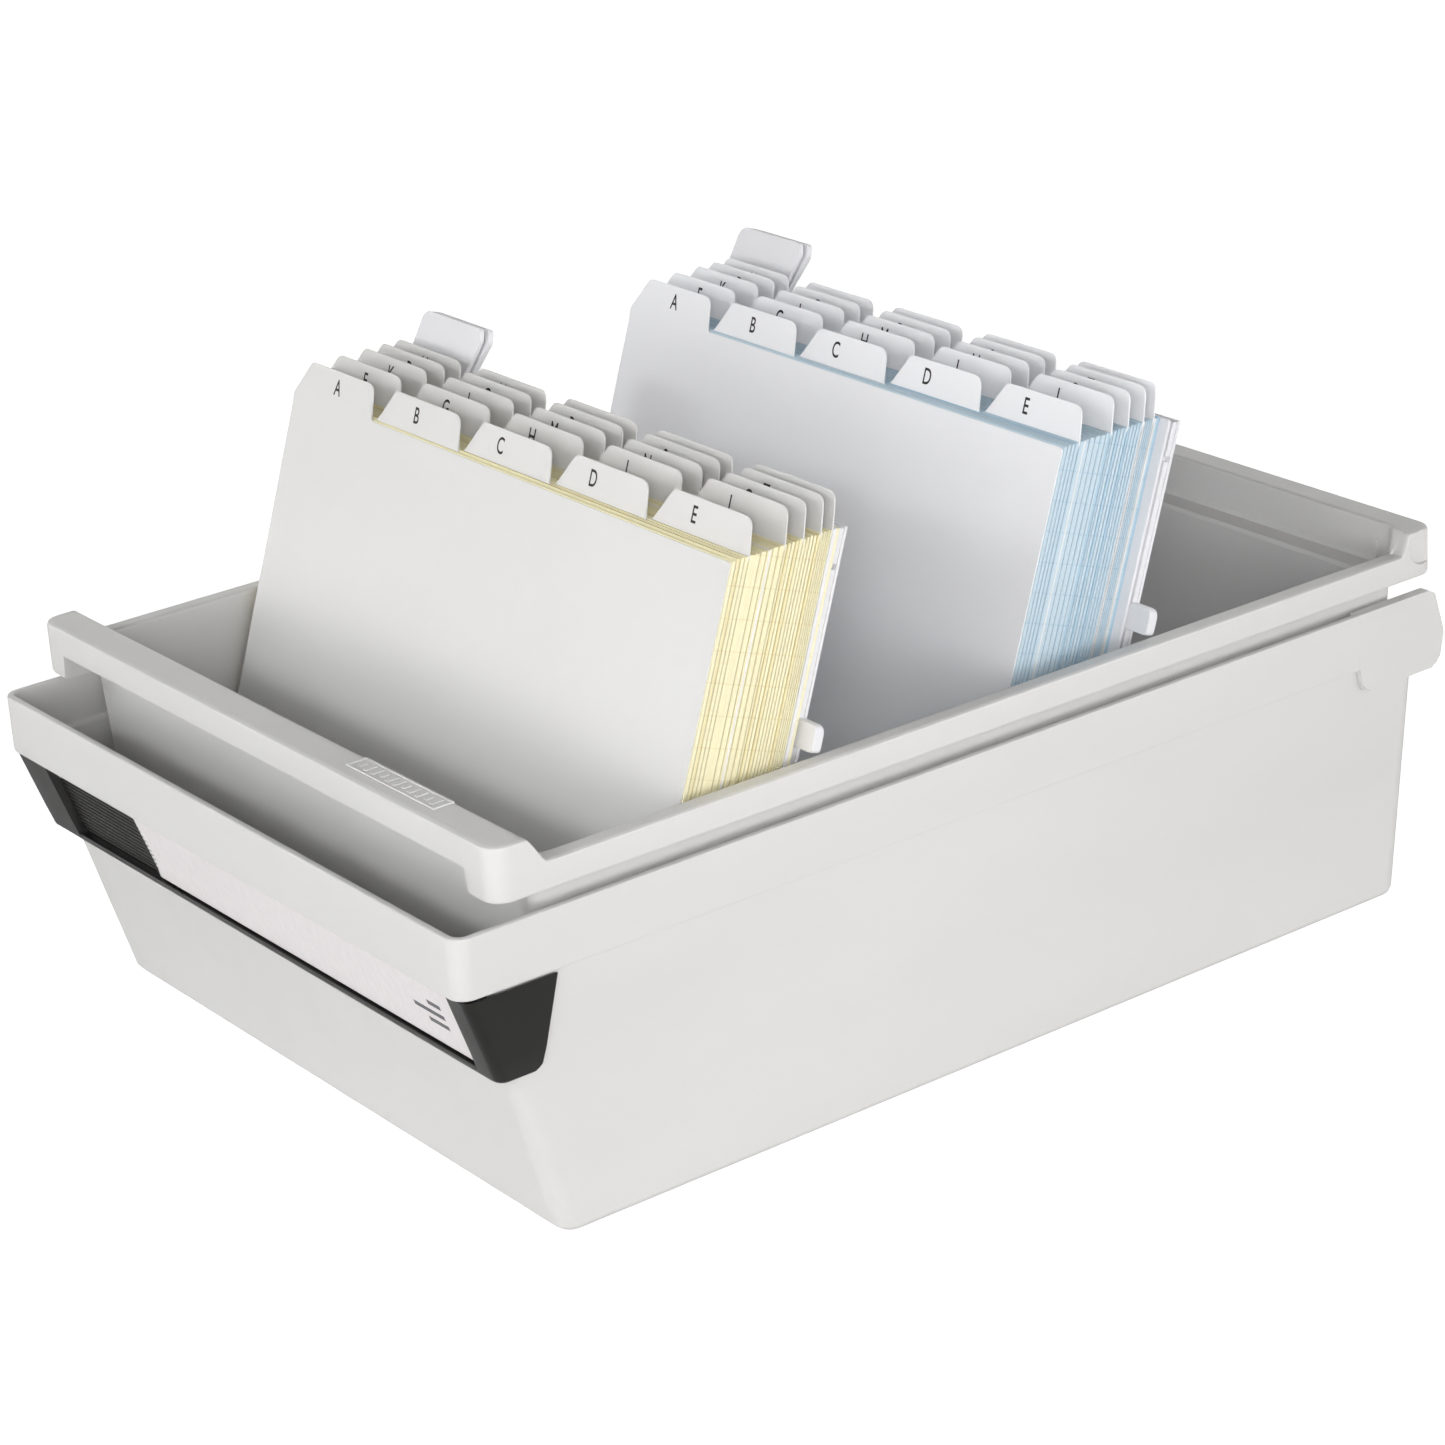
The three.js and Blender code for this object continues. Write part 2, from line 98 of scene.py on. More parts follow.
class Nodes:
    """A new material with a Principled shader, and short calls for its nodes."""

    def __init__(self, name):
        self.material = bpy.data.materials.new(name)
        self.material.use_nodes = True
        self.tree = self.material.node_tree
        self.shader = self.tree.nodes["Principled BSDF"]

    def add(self, kind, **values):
        node = self.tree.nodes.new(kind)
        for key, value in values.items():
            if hasattr(node, key):
                setattr(node, key, value)
            else:
                node.inputs[key.replace("_", " ")].default_value = value
        return node

    def link(self, output, target):
        self.tree.links.new(output, target)

    def place(self):
        return self.add("ShaderNodeTexCoord").outputs["Object"]

    def noise(self, scale, detail=2.0, roughness=0.5, stretch=None):
        texture = self.add("ShaderNodeTexNoise", Scale=scale, Detail=detail, Roughness=roughness)
        where = self.place()
        if stretch:
            mapping = self.add("ShaderNodeMapping", Scale=stretch)
            self.link(where, mapping.inputs["Vector"])
            where = mapping.outputs["Vector"]
        self.link(where, texture.inputs["Vector"])
        return texture.outputs["Fac"]

    def spread(self, value, low, high):
        """Maps a noise value to the range from low to high."""
        node = self.add("ShaderNodeMapRange", From_Min=0.3, From_Max=0.7, To_Min=low, To_Max=high)
        self.link(value, node.inputs["Value"])
        return node.outputs["Result"]

    def mix(self, factor, first, second):
        node = self.add("ShaderNodeMix", data_type="RGBA")
        for socket, value in ((node.inputs[6], first), (node.inputs[7], second)):
            if isinstance(value, tuple):
                socket.default_value = (*value, 1)
            else:
                self.link(value, socket)
        self.link(factor, node.inputs[0])
        return node.outputs[2]

    def bump(self, height, strength, distance):
        node = self.add("ShaderNodeBump", Strength=strength, Distance=distance)
        self.link(height, node.inputs["Height"])
        self.link(node.outputs["Normal"], self.shader.inputs["Normal"])


def moulded_plastic(name, light, dark, roughness, grain):
    """Injection-moulded plastic: faint flow marks in its colour and a fine spark-eroded grain."""
    nodes = Nodes(name)
    flow = nodes.noise(9, detail=4, stretch=(1, 0.6, 2.2))
    nodes.link(nodes.mix(nodes.spread(flow, 0, 1), dark, light), nodes.shader.inputs["Base Color"])
    gloss = nodes.noise(60, detail=5)
    low, high = roughness
    nodes.link(nodes.spread(gloss, low, high), nodes.shader.inputs["Roughness"])
    nodes.bump(nodes.noise(2600, detail=3, roughness=0.7), grain, 0.00006)
    nodes.shader.inputs["IOR"].default_value = 1.52
    return nodes.material


def paper(name, light, dark, roughness=0.82):
    """Card with fibres."""
    nodes = Nodes(name)
    fibres = nodes.noise(700, detail=6, stretch=(1, 1, 0.35))
    nodes.link(nodes.mix(nodes.spread(fibres, 0, 1), dark, light), nodes.shader.inputs["Base Color"])
    nodes.bump(nodes.noise(1800, detail=4), 0.25, 0.00005)
    nodes.shader.inputs["Roughness"].default_value = roughness
    nodes.shader.inputs["Specular IOR Level"].default_value = 0.25
    return nodes.material


RULE_PITCH = 0.0085  # metres between the printed rules of a record card
RULE_SHARE = 0.05  # of the pitch that a rule takes up
RULE_DARKNESS = 0.2
FIBRE_DARKNESS = 0.12


def record_card(name, light, dark, rule):
    """Coloured card whose tint changes from sheet to sheet, with printed rules that reach its edge."""
    nodes = Nodes(name)
    sheet = nodes.add("ShaderNodeVertexColor", layer_name="tint").outputs["Color"]
    fibres = nodes.noise(900, detail=6, stretch=(1, 1, 0.3))
    tinted = nodes.mix(sheet, dark, light)
    soft = nodes.add("ShaderNodeMix", data_type="RGBA", blend_type="MULTIPLY")
    soft.inputs[0].default_value = FIBRE_DARKNESS
    nodes.link(tinted, soft.inputs[6])
    nodes.link(fibres, soft.inputs[7])
    split = nodes.add("ShaderNodeSeparateXYZ")
    nodes.link(nodes.place(), split.inputs["Vector"])
    period = nodes.add("ShaderNodeMath", operation="WRAP")
    nodes.link(split.outputs["Z"], period.inputs[0])
    period.inputs[1].default_value = RULE_PITCH
    period.inputs[2].default_value = 0
    line = nodes.add("ShaderNodeMath", operation="LESS_THAN")
    nodes.link(period.outputs[0], line.inputs[0])
    line.inputs[1].default_value = RULE_PITCH * RULE_SHARE
    faint = nodes.add("ShaderNodeMath", operation="MULTIPLY")
    nodes.link(line.outputs[0], faint.inputs[0])
    faint.inputs[1].default_value = RULE_DARKNESS
    colour = nodes.mix(faint.outputs[0], soft.outputs[2], rule)
    nodes.link(colour, nodes.shader.inputs["Base Color"])
    nodes.bump(nodes.noise(2000, detail=3), 0.2, 0.00004)
    nodes.shader.inputs["Roughness"].default_value = 0.85
    nodes.shader.inputs["Specular IOR Level"].default_value = 0.2
    return nodes.material


BOX_PLASTIC = moulded_plastic(
    "box_plastic", (0.665, 0.66, 0.652), (0.635, 0.63, 0.622), roughness=(0.36, 0.46), grain=0.35
)
PLATE_PLASTIC = moulded_plastic(
    "plate_plastic", (0.76, 0.76, 0.78), (0.72, 0.72, 0.74), roughness=(0.38, 0.5), grain=0.3
)
GUIDES = {
    "front": moulded_plastic(
        "guide_plastic", (0.70, 0.695, 0.685), (0.675, 0.67, 0.66), roughness=(0.42, 0.55), grain=0.2
    ),
    # The rear guides are a lighter copy of the guide plastic. This is painted light that makes up for the
    # shade the front pack casts on them.
    "rear": moulded_plastic(
        "guide_plastic_rear_painted_light", (0.86, 0.865, 0.88), (0.835, 0.84, 0.855), roughness=(0.42, 0.55), grain=0.2
    ),
}
HOLDER_PLASTIC = moulded_plastic(
    "holder_plastic", (0.010, 0.009, 0.0085), (0.006, 0.0055, 0.005), roughness=(0.26, 0.36), grain=0.4
)
INK = paper("index_ink", (0.03, 0.028, 0.028), (0.02, 0.02, 0.02), roughness=0.6)
PRINT = paper("label_print", (0.16, 0.16, 0.17), (0.12, 0.12, 0.13), roughness=0.6)
LABEL_PAPER = paper("label_paper", (0.77, 0.74, 0.745), (0.72, 0.69, 0.695), roughness=0.6)
CARDS = {
    "front": record_card("card_yellow", (0.89, 0.84, 0.58), (0.74, 0.62, 0.27), (0.62, 0.49, 0.18)),
    "rear": record_card("card_blue", (0.59, 0.71, 0.79), (0.30, 0.52, 0.68), (0.22, 0.42, 0.58)),
}
WHITE_CARD = paper("card_white", (0.82, 0.81, 0.80), (0.72, 0.71, 0.70))

# ------------------------------------------------------------------------------------ meshes

SHARP = math.radians(38)  # edges that turn by more than this are drawn as edges


def finish_mesh(name, mesh, body, materials, place=None):
    """Turns mesh, whose vertices are in millimetres, into a smooth-shaded piece on a body."""
    mesh.transform(Matrix.Scale(MM, 4))
    for polygon in mesh.polygons:
        polygon.use_smooth = True
    mesh.set_sharp_from_angle(angle=SHARP)
    for material in materials:
        mesh.materials.append(material)
    piece = bpy.data.objects.new(name, mesh)
    bpy.context.scene.collection.objects.link(piece)
    if place:
        piece.matrix_world = place
    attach(piece, body)
    return piece


BEVEL_ANGLE = math.radians(35)


def flat_shading(piece):
    """Lets the large faces of a smooth-shaded skin set its normals, so that they look flat."""
    piece.modifiers.new("flat", "WEIGHTED_NORMAL").keep_sharp = True


def mesh_of(name, bm):
    """A mesh of the solids in bm, with their faces turned outwards."""
    bmesh.ops.recalc_face_normals(bm, faces=bm.faces)
    mesh = bpy.data.meshes.new(name)
    bm.to_mesh(mesh)
    bm.free()
    return mesh


def bevel(piece, width, segments=3):
    """Rounds the edges of a piece that turn by more than BEVEL_ANGLE."""
    modifier = piece.modifiers.new("bevel", "BEVEL")
    modifier.width = width * MM
    modifier.segments = segments
    modifier.limit_method = "ANGLE"
    modifier.angle_limit = BEVEL_ANGLE
    modifier.harden_normals = True


def skin(bm, columns, closed):
    """Faces between neighbouring columns of points; a closed skin wraps round and gets two caps."""
    grid = [[bm.verts.new(point) for point in column] for column in columns]
    count = len(grid)
    for i in range(count if closed else count - 1):
        near, far = grid[i], grid[(i + 1) % count]
        for k in range(len(near) - 1):
            bm.faces.new((near[k], far[k], far[k + 1], near[k + 1]))
    if closed:
        bm.faces.new([column[0] for column in grid])
        bm.faces.new([column[-1] for column in grid])
    else:
        for near, far in zip(grid[:-1], grid[1:]):
            bm.faces.new((near[-1], far[-1], far[0], near[0]))
        bm.faces.new(grid[0])
        bm.faces.new(grid[-1])


def extrude(bm, outline, axis, low, high):
    """A prism of a closed outline of (u, v) points between low and high along axis x or y."""
    def at(point, depth):
        return (depth, *point) if axis == "x" else (point[0], depth, point[1])

    near = [bm.verts.new(at(point, low)) for point in outline]
    far = [bm.verts.new(at(point, high)) for point in outline]
    bm.faces.new(near)
    bm.faces.new(far[::-1])
    for i in range(len(outline)):
        after = (i + 1) % len(outline)
        bm.faces.new((near[i], far[i], far[after], near[after]))


def block(bm, low, high):
    """A box between two corners. It gives its vertices."""
    made = bmesh.ops.create_cube(bm, size=1)
    size = Vector(high) - Vector(low)
    middle = (Vector(high) + Vector(low)) / 2
    bmesh.ops.scale(bm, vec=size, verts=made["verts"])
    bmesh.ops.translate(bm, vec=middle, verts=made["verts"])
    return made["verts"]


def rounded(points, radii, steps=5):
    """The outline with each corner replaced by an arc-like curve of its radius."""
    result = []
    count = len(points)
    for i, radius in enumerate(radii):
        here = Vector(points[i])
        if radius <= 0:
            result.append(tuple(here))
            continue
        before = Vector(points[i - 1]) - here
        after = Vector(points[(i + 1) % count]) - here
        cut = min(radius / math.tan(before.angle(after) / 2), 0.49 * before.length, 0.49 * after.length)
        first, last = here + before.normalized() * cut, here + after.normalized() * cut
        for k in range(steps + 1):
            t = k / steps
            result.append(tuple((1 - t) ** 2 * first + 2 * t * (1 - t) * here + t ** 2 * last))
    return result


def combine(piece, tool_mesh, operation):
    """Joins a solid to a piece, or cuts it out, for good. The tool's vertices are in millimetres."""
    tool_mesh.transform(Matrix.Scale(MM, 4))
    tool = bpy.data.objects.new("tool", tool_mesh)
    bpy.context.scene.collection.objects.link(tool)
    modifier = piece.modifiers.new("combine", "BOOLEAN")
    modifier.operation = operation
    modifier.solver = "EXACT"
    modifier.object = tool
    bpy.context.view_layer.update()
    evaluated = piece.evaluated_get(bpy.context.evaluated_depsgraph_get())
    made = bpy.data.meshes.new_from_object(evaluated)
    piece.modifiers.clear()
    piece.data = made
    bpy.data.objects.remove(tool)
    for polygon in made.polygons:
        polygon.use_smooth = True
    made.set_sharp_from_angle(angle=SHARP)


# ------------------------------------------------------------------------------------ rings

CORNER_STEPS = 9


class Ring:
    """A rectangle with rounded corners in plan, given by its half width and its two ends."""

    def __init__(self, half, front, rear, corner):
        self.half, self.front, self.rear, self.corner = half, front, rear, corner

    def inset(self, by):
        return Ring(self.half - by, self.front + by, self.rear - by, max(self.corner - by, 0.3))

    def mix(self, other, t):
        pairs = zip(
            (self.half, self.front, self.rear, self.corner),
            (other.half, other.front, other.rear, other.corner),
        )
        return Ring(*(a + (b - a) * t for a, b in pairs))

    def at(self, side, t):
        """A point of the ring. Sides 0 to 3 are the front, right, rear and left edge, 4 to 7 the corners
        after them, and t goes from -1 to 1 along each."""
        flat, c = self.half - self.corner, self.corner
        low, high = self.front + c, self.rear - c
        along = low + (high - low) * (t + 1) / 2
        back = high - (high - low) * (t + 1) / 2
        if side < 4:
            edges = ((t * flat, self.front), (self.half, along), (-t * flat, self.rear), (-self.half, back))
            return edges[side]
        middle = ((flat, low), (flat, high), (-flat, high), (-flat, low))[side - 4]
        angle = math.radians((side - 5) * 90 + 45 * (t + 1))
        return middle[0] + c * math.cos(angle), middle[1] + c * math.sin(angle)


def stations(across, along):
    """All the places round a ring: values of t along its front and rear, and along its right side."""
    turns = [-1 + 2 * (i + 1) / CORNER_STEPS for i in range(CORNER_STEPS - 1)]
    places = []
    for side in range(4):
        if side % 2 == 0:
            ts = across
        else:
            ts = along if side == 1 else [-t for t in reversed(along)]
        places += [(side, t) for t in ts]
        places += [(side + 4, t) for t in turns]
    return places


def even(low, high, count):
    """Evenly spaced values that cut the range from low to high into count parts."""
    return [low + (high - low) * i / count for i in range(count + 1)]


def smooth_step(t):
    """0 below 0, 1 above 1, and a smooth rise between."""
    t = min(max(t, 0.0), 1.0)
    return t * t * (3 - 2 * t)


# ------------------------------------------------------------------------------------ lid

RIM = Ring(116.7, LID_LOW.y, LID_HIGH.y - 6.1, 5)
RIM_TOP = LID_HIGH.z
LEDGE_Z = RIM_TOP - 17.2
WALL_BASE = Ring(111.8, LID_LOW.y + 28.4, LID_HIGH.y - 13.5, 5.5)
WALL_TOP = Ring(115, LID_LOW.y + 7.8, LID_HIGH.y - 8.2, 5.5)
SHELL_WALL = 2.2
SHELL_FLOOR = 2.6
EAR_X = RIM.half + 0.03  # outer face of the hinge cheeks
EAR_WALL = 3.4
EAR_LENGTH, EAR_DROP = 34.4, 16.1  # size of a cheek's upper part, which is flush with the band
STUD_Y, STUD_Z = LID_HIGH.y - 4.6, RIM_TOP - 13.6
STUD_RADIUS, STUD_LENGTH = 3.8, 5
REAR_CUT_Z = RIM_TOP - 11.6  # the rear of the band is cut down to here between the cheeks


def shell_ring(z):
    """The outside of the lid's sloping walls at height z."""
    return WALL_BASE.mix(WALL_TOP, z / LEDGE_Z)


def lid_rows():
    """The lid's skin as rings and heights, from under the base, over the rim and down to the floor."""
    step = LEDGE_Z + SHELL_WALL
    inner = SHELL_WALL
    return [
        (WALL_BASE.inset(3), 0),
        (WALL_BASE.inset(1.5), 0.35),
        (WALL_BASE.inset(0.5), 1.1),
        (shell_ring(2.6), 2.6),
        (shell_ring(30), 30),
        (shell_ring(LEDGE_Z - 0.5), LEDGE_Z - 0.5),
        (WALL_TOP.inset(-0.3), LEDGE_Z),
        (RIM.inset(0.9), LEDGE_Z),
        (RIM.inset(0.25), LEDGE_Z + 0.3),
        (RIM, LEDGE_Z + 1.0),
        (RIM, RIM_TOP - 0.7),
        (RIM.inset(0.2), RIM_TOP - 0.2),
        (RIM.inset(0.6), RIM_TOP),
        (RIM.inset(inner - 0.6), RIM_TOP),
        (RIM.inset(inner - 0.15), RIM_TOP - 0.2),
        (RIM.inset(inner), RIM_TOP - 0.7),
        (RIM.inset(inner), step + 1.2),
        (RIM.inset(inner + 0.4), step + 0.3),
        (shell_ring(step).inset(inner - 0.4), step),
        (shell_ring(step).inset(inner), step - 0.6),
        (shell_ring(8).inset(inner), 8),
        (shell_ring(5).inset(inner + 1), 4.2),
        (shell_ring(3).inset(inner + 4), SHELL_FLOOR),
    ]


def ear_outline():
    """The hinge cheek at a rear corner, seen from the side."""
    rear = LID_HIGH.y
    points = [
        (rear - EAR_LENGTH, RIM_TOP - EAR_DROP),
        (rear - 32.4, RIM_TOP - 24.2),
        (rear - 2.0, RIM_TOP - 24.2),
        (rear, RIM_TOP - 13.8),
        (rear - 3.6, RIM_TOP - 1.4),
        (rear - 6.1, RIM_TOP),
        (rear - EAR_LENGTH, RIM_TOP),
    ]
    return rounded(points, [0, 3.5, 3.5, 3, 2, 1, 0])


def disc(bm, x0, x1, y, z, radius, tilt=0.0, sides=40):
    """A cylinder along x between x0 and x1, turned about z by tilt at x0."""
    made = bmesh.ops.create_cone(
        bm, cap_ends=True, segments=sides, radius1=radius, radius2=radius, depth=x1 - x0
    )
    turn = Matrix.Rotation(tilt, 4, "Z") @ Matrix.Rotation(math.pi / 2, 4, "Y")
    bmesh.ops.transform(bm, matrix=Matrix.Translation(((x0 + x1) / 2, y, z)) @ turn, verts=made["verts"])


def make_ear(side):
    """A hinge cheek, with its free edges rounded where it stands proud of the band."""
    bm = bmesh.new()
    outer, inner = side * EAR_X, side * (EAR_X - EAR_WALL)
    extrude(bm, ear_outline(), "x", min(outer, inner), max(outer, inner))
    front, top = LID_HIGH.y - EAR_LENGTH + 0.1, RIM_TOP - 0.1
    low = RIM_TOP - EAR_DROP - 0.2
    loose = []
    for edge in bm.edges:
        if any(abs(vert.co.x - outer) > 0.01 for vert in edge.verts):
            continue
        free = any(vert.co.y > front or vert.co.z < low for vert in edge.verts)
        if free and any(vert.co.z < top for vert in edge.verts):
            loose.append(edge)
    bmesh.ops.bevel(bm, geom=loose, offset=0.6, segments=3, affect="EDGES")
    return mesh_of("ear", bm)


def make_lid():
    bm = bmesh.new()
    rows = lid_rows()
    places = stations(even(-1, 1, 12), even(-1, 1, 16))
    skin(bm, [[(*ring.at(*place), z) for ring, z in rows] for place in places], closed=True)
    lid = finish_mesh("lid_shell_body", mesh_of("lid", bm), "lid", [BOX_PLASTIC])
    bm = bmesh.new()
    reach = EAR_X - EAR_WALL
    block(bm, (-reach, RIM.rear - SHELL_WALL - 1, REAR_CUT_Z), (reach, RIM.rear + 1, RIM_TOP + 1))
    combine(lid, mesh_of("rear_cut", bm), "DIFFERENCE")
    for side in (-1, 1):
        combine(lid, make_ear(side), "UNION")
        bm = bmesh.new()
        inner = side * (EAR_X - EAR_WALL)
        end = inner - side * STUD_LENGTH
        disc(bm, min(end, inner), max(end, inner), STUD_Y, STUD_Z, STUD_RADIUS)
        combine(lid, mesh_of("stud", bm), "UNION")
    flat_shading(lid)
    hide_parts("lid_shell")


# ------------------------------------------------------------------------------------ tray

BASE_Z = TRAY_LOW.z + 5.6
FLOOR_Z = BASE_Z + 2.2
RAIL_UNDER = BASE_Z + 82.5
RAIL_TOP = RAIL_UNDER + 8
HANDLE_TOP = RAIL_UNDER + 15.4
BAR_TOP = RAIL_UNDER + 14.3
SHELF_Z = RAIL_UNDER + 2
LIP_UNDER = RAIL_UNDER + 6.7
GRIP_TOP = HANDLE_TOP - 2.5
FRONT, REAR = TRAY_LOW.y, TRAY_HIGH.y
TRAY_RIM = Ring(TRAY_HIGH.x, FRONT, REAR, 6)
TRAY_BASE = Ring(108.8, FRONT + 18.4, REAR - 19.4, 4)
TRAY_WALL = Ring(110.7, FRONT + 13.6, REAR - 13.4, 3)
TRAY_INNER = Ring(108.6, FRONT + 15.8, REAR - 17.6, 4.5)
TRAY_NOTCH = Ring(108.6, FRONT + 15.8, REAR - 9.2, 5)
TRAY_FLOOR = Ring(106.6, FRONT + 20.6, REAR - 22.6, 5)
LIP_BACK = FRONT + 2.5
HANDLE_SLOPE = (FRONT + 10.4, FRONT + 17.2)  # where the handle's top turns down to the rails
BAR_SLOPE = (REAR - 13.8, REAR - 10.4)
GRIP_T = 102.5 / (TRAY_RIM.half - TRAY_RIM.corner)  # the finger grip's end, along the front edge
EDGE = 1.1  # radius of the rim's edges


def rim_height(y):
    """Height of the rim's top: level along the rails, and raised at the handle and the rear bar."""
    start, end = HANDLE_SLOPE
    front = (HANDLE_TOP - RAIL_TOP) * (1 - smooth_step((y - start) / (end - start)))
    start, end = BAR_SLOPE
    rear = (BAR_TOP - RAIL_TOP) * smooth_step((y - start) / (end - start))
    return RAIL_TOP + front + rear


def under_rim(side, t):
    """The points under the rim, from the tray's wall out to the rim's lower outer edge."""
    wall, rim = Vector(TRAY_WALL.at(side, t)), Vector(TRAY_RIM.inset(EDGE).at(side, t))
    if side == 0:
        x = TRAY_RIM.at(side, t)[0]
        inside = abs(t) < GRIP_T
        top, lip = (GRIP_TOP, LIP_UNDER) if inside else (RAIL_UNDER, RAIL_UNDER)
        return [(x, wall.y, top), (x, LIP_BACK, top), (x, LIP_BACK, lip), (x, FRONT + EDGE, lip)]
    return [(*wall.lerp(rim, f), RAIL_UNDER) for f in (0.1, 0.4, 0.7, 1)]


def tray_column(side, t):
    """The tray's section at one place round it, from under its base, over the rim and down inside."""
    def on(ring, z):
        return (*ring.at(side, t), z)

    def on_top(ring, drop):
        x, y = ring.at(side, t)
        return x, y, rim_height(y) - drop

    column = [
        on(TRAY_BASE.inset(2.5), BASE_Z),
        on(TRAY_BASE.inset(0.8), BASE_Z + 0.7),
        on(TRAY_BASE, BASE_Z + 2.4),
        on(TRAY_BASE.mix(TRAY_WALL, 0.5), (BASE_Z + RAIL_UNDER) / 2),
        on(TRAY_WALL, RAIL_UNDER - 0.01),
    ]
    under = under_rim(side, t)
    lip = under[-1][2]
    column += under
    column += [on(TRAY_RIM.inset(0.3 * EDGE), lip + 0.3 * EDGE), on(TRAY_RIM, lip + EDGE)]
    column += [on_top(TRAY_RIM, EDGE), on_top(TRAY_RIM.inset(0.3 * EDGE), 0.3 * EDGE)]
    outer, inner = Vector(TRAY_RIM.inset(EDGE).at(side, t)), Vector(TRAY_NOTCH.inset(-EDGE).at(side, t))
    for f in even(0, 1, 14):
        x, y = outer.lerp(inner, f)
        column.append((x, y, rim_height(y)))
    column += [on_top(TRAY_NOTCH.inset(-0.3 * EDGE), 0.3 * EDGE), on_top(TRAY_NOTCH, EDGE)]
    if side in (2, 5, 6):
        column += [
            on(TRAY_NOTCH, SHELF_Z + 1),
            on(TRAY_NOTCH.inset(1), SHELF_Z),
            on(TRAY_INNER.inset(-1), SHELF_Z),
            on(TRAY_INNER, SHELF_Z - 1),
        ]
    else:
        column += [on(TRAY_NOTCH, SHELF_Z + 1), on(TRAY_NOTCH, SHELF_Z + 0.2)]
        column += [on(TRAY_INNER, SHELF_Z - 0.2), on(TRAY_INNER, SHELF_Z - 1)]
    column += [
        on(TRAY_INNER.mix(TRAY_FLOOR, 0.5), (SHELF_Z + FLOOR_Z) / 2),
        on(TRAY_FLOOR, FLOOR_Z + 3.4),
        on(TRAY_FLOOR.inset(1.0), FLOOR_Z + 1.0),
        on(TRAY_FLOOR.inset(3.4), FLOOR_Z),
    ]
    return column


def tray_stations():
    """Places round the tray, close together at the grip's ends and where the rim rises."""
    slope = 0.004
    across = [-1, -0.97, -GRIP_T - slope, -GRIP_T + slope, *even(-0.9, 0.9, 12)]
    across += [GRIP_T - slope, GRIP_T + slope, 0.97, 1]
    along = [-1, *even(-0.985, -0.9, 17), *even(-0.8, 0.8, 10), *even(0.9, 0.99, 24), 1]
    return stations(across, along)


SOCKET_Y = REAR - 6.2
SOCKET_Z = BAR_TOP - 5.3
SOCKET_RADIUS = 5.1
SOCKET_DEPTH = 1.6
SOCKET_TILT = -0.26
RIB_X, RIB_Y = 100.4, REAR - 7.9  # a thin upright rib near each end of the rear bar's inner side
FOOT_INSET = 18  # from the base's edges to the middle of a foot
FOOT_HALF = 9


def make_tray():
    bm = bmesh.new()
    skin(bm, [tray_column(*place) for place in tray_stations()], closed=True)
    tray = finish_mesh("card_tray_body", mesh_of("tray", bm), "tray", [BOX_PLASTIC])
    for side in (-1, 1):
        bm = bmesh.new()
        face = side * TRAY_RIM.half
        near, far = face - side * SOCKET_DEPTH, face + side * 6
        disc(bm, min(near, far), max(near, far), SOCKET_Y, SOCKET_Z, SOCKET_RADIUS, tilt=side * SOCKET_TILT)
        combine(tray, mesh_of("socket", bm), "DIFFERENCE")
    flat_shading(tray)
    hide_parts("card_tray")
    make_channel_ribs()
    make_feet()
    make_teeth()
    make_badge()


def make_channel_ribs():
    """A thin upright rib near each end of the channel along the rear bar's inner side."""
    bm = bmesh.new()
    for side in (-1, 1):
        x = side * RIB_X
        block(bm, (x - 0.4, RIB_Y - 2.4, SHELF_Z - 0.3), (x + 0.4, RIB_Y, SHELF_Z + 7))
    mesh = mesh_of("ribs", bm)
    bevel(finish_mesh("tray_channel_ribs", mesh, "tray", [BOX_PLASTIC]), 0.25, 2)


def make_feet():
    """The tray's feet and, just below them, the lid's pads that they stand on."""
    feet = (TRAY_LOW.z, BASE_Z + 0.5)
    pads = (SHELL_FLOOR - 0.5, TRAY_LOW.z - 0.4)
    x = TRAY_BASE.half - FOOT_INSET
    for name, body, (low, high) in (("tray_feet", "tray", feet), ("lid_pads", "lid", pads)):
        bm = bmesh.new()
        for y in (TRAY_BASE.front + FOOT_INSET, TRAY_BASE.rear - FOOT_INSET):
            for middle in (-x, x):
                near = (middle - FOOT_HALF, y - FOOT_HALF, low)
                far = (middle + FOOT_HALF, y + FOOT_HALF, high)
                block(bm, near, far)
        bevel(finish_mesh(name, mesh_of(name, bm), body, [BOX_PLASTIC]), 0.8)


TOOTH_PITCH, TOOTH_HEIGHT = 6, 2.0
TOOTH_X, TOOTH_WIDTH = 60, 18


def make_teeth():
    """Saw teeth across the floor, which keep the cards' lower edges from sliding."""
    bm = bmesh.new()
    low, high = TRAY_FLOOR.front + 6, TRAY_FLOOR.rear - 6
    outline = [(low, FLOOR_Z - 0.5)]
    y = low
    while y + TOOTH_PITCH < high:
        outline += [(y, FLOOR_Z), (y + TOOTH_PITCH - 1, FLOOR_Z + TOOTH_HEIGHT)]
        y += TOOTH_PITCH
    outline += [(y, FLOOR_Z), (y, FLOOR_Z - 0.5)]
    for x in (-TOOTH_X, TOOTH_X):
        extrude(bm, outline, "x", x - TOOTH_WIDTH / 2, x + TOOTH_WIDTH / 2)
    bevel(finish_mesh("tray_teeth", mesh_of("teeth", bm), "tray", [BOX_PLASTIC]), 0.25, 2)


BADGE_X, BADGE_Y = 62, FRONT + 7.9
BADGE_SIZE = (41, 6.4)
BADGE_BARS = 11
BADGE_RISE = 0.38


